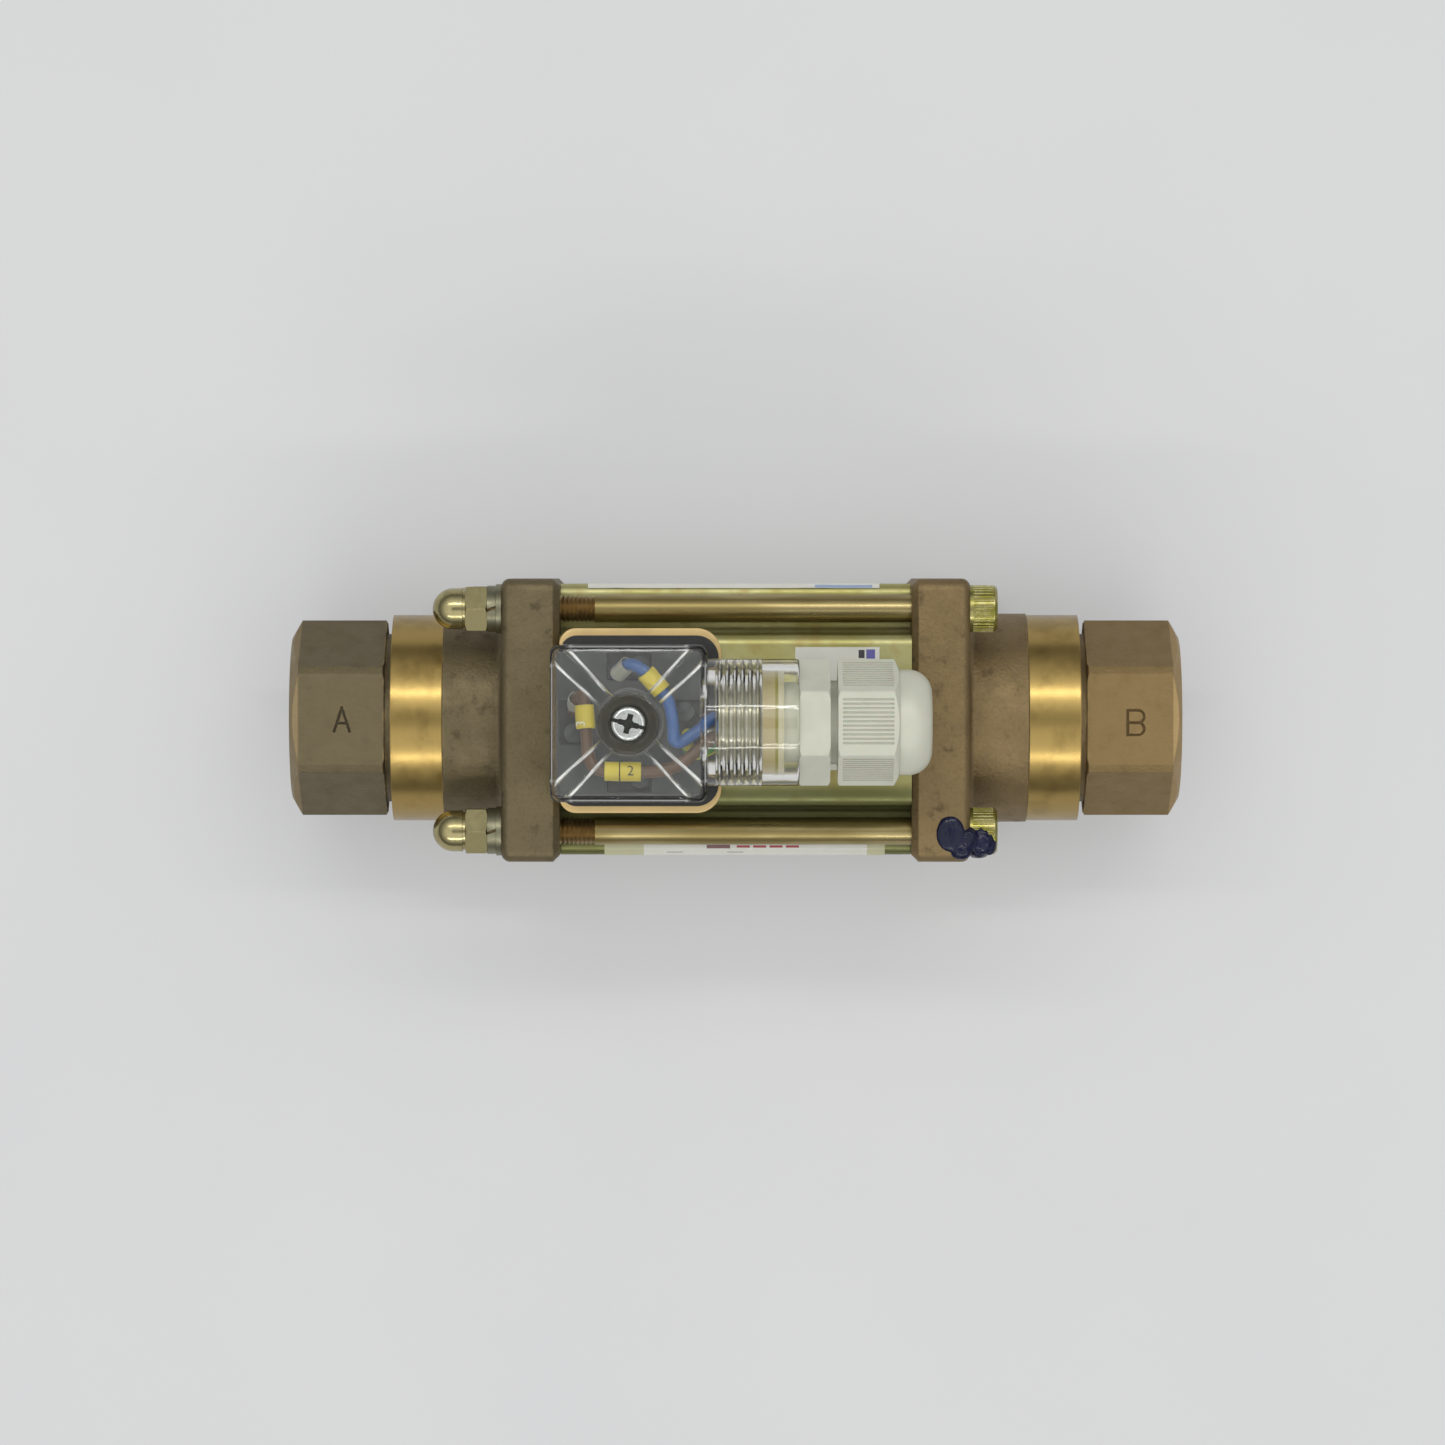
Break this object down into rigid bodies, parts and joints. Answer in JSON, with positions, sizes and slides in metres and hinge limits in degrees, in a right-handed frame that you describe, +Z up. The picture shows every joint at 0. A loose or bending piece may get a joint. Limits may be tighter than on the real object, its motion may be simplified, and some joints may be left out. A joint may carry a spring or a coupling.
{
  "type": "coaxial solenoid valve",
  "caption": "In-line coaxial solenoid valve: square flanged ports tied by long bolts around a coil housing, with a clear plug connector and cable gland on top.",
  "frame": {"origin": "below the middle of the flow axis, on the plane of the flanges' lower faces", "axes": "+X along the flow axis from port A to port B, +Z up through the plug connector"},
  "size_m": [0.1634, 0.0516, 0.0817],
  "materials": {
    "cast_bronze": "sand cast, brown patina",
    "zinc_yellow": "yellow chromated zinc plate",
    "zinc_gold": "gold chromated zinc plate",
    "nickel_brass": "polished, pale",
    "washer_steel": "dull plated",
    "stainless": "ground",
    "magnetic_steel": "turned",
    "spring_steel": "drawn",
    "copper": "enamelled winding wire",
    "bobbin_plastic": "moulded",
    "tan_plastic": "moulded, satin",
    "black_rubber": "moulded",
    "beige_rubber": "moulded",
    "seal_rubber": "moulded",
    "slider_plastic": "filled bearing plastic",
    "clear_plastic": "clear moulded plastic",
    "slate_plastic": "moulded",
    "contact_brass": "tinned",
    "screw_zinc": "bright zinc plate",
    "gland_plastic": "moulded, satin",
    "wire_blue": "extruded insulation",
    "wire_brown": "extruded insulation",
    "wire_green_yellow": "extruded insulation, two colours",
    "marker_yellow": "soft sleeve",
    "ferrule_white": "moulded sleeve",
    "label_white": "printed film",
    "lacquer_navy": "wet-look lacquer"
  },
  "bodies": {
    "valve_body": {"carrier_o_rings": "seal_rubber", "coil_bobbin": "bobbin_plastic", "coil_housing": "zinc_yellow", "coil_leads": "copper", "coil_winding": "copper", "connector_base": "tan_plastic", "contact_pins": "contact_brass", "dome_nuts": "nickel_brass", "earth_pin": "contact_brass", "fixed_core": "magnetic_steel", "flat_washers": "washer_steel", "guide_bushes": "slider_plastic", "guide_carriers": "nickel_brass", "guide_tube": "stainless", "lip_seals": "seal_rubber", "pole_plates": "magnetic_steel", "port_flange_a": "cast_bronze", "port_flange_b": "cast_bronze", "profile_gasket": "black_rubber", "return_spring": "spring_steel", "screw_insert": "contact_brass", "seal_lacquer": "lacquer_navy", "seat_clip": "spring_steel", "seat_screw": "stainless", "seat_seal": "seal_rubber", "seat_spider": "stainless", "side_label_left": "label_white", "side_label_right": "label_white", "spring_washers": "washer_steel", "tie_bolts": "zinc_gold", "top_label": "label_white", "tube_o_rings": "seal_rubber"},
    "armature_tube": {"armature": "magnetic_steel", "control_tube": "stainless"},
    "plug": {"terminal_block": "slate_plastic", "terminal_clamps": "contact_brass", "terminal_screws": "screw_zinc", "plug_cover": "clear_plastic", "screw_seal": "black_rubber", "blue_wire": "wire_blue", "brown_wire": "wire_brown", "earth_wire": "wire_green_yellow", "wire_ferrules": "ferrule_white", "wire_markers": "marker_yellow", "gland_body": "gland_plastic", "gland_seal_ring": "beige_rubber", "gland_seal": "seal_rubber", "gland_claw": "gland_plastic"},
    "fixing_screw": {"plug_screw": "screw_zinc"},
    "gland_cap": {"gland_nut": "gland_plastic"}
  },
  "joints": [
    {"name": "armature_stroke", "type": "slide", "parent": "valve_body", "child": "armature_tube", "axis": [-1, 0, 0], "range_m": [0, 0.004], "stiffness_N_per_m": 1142, "springref_m": -0.0157, "deforming": ["return_spring"]},
    {"name": "plug_pull_off", "type": "slide", "parent": "valve_body", "child": "plug", "axis": [0, 0, 1], "range_m": [0, 0.02]},
    {"name": "fixing_screw_turn", "type": "hinge", "parent": "plug", "child": "fixing_screw", "pos_m": [-0.0191, 0, 0.07925], "axis": [0, 0, 1], "continuous": true},
    {"name": "gland_nut_turn", "type": "hinge", "parent": "plug", "child": "gland_cap", "pos_m": [0.0237, 0, 0.06775], "axis": [1, 0, 0], "continuous": true}
  ]
}
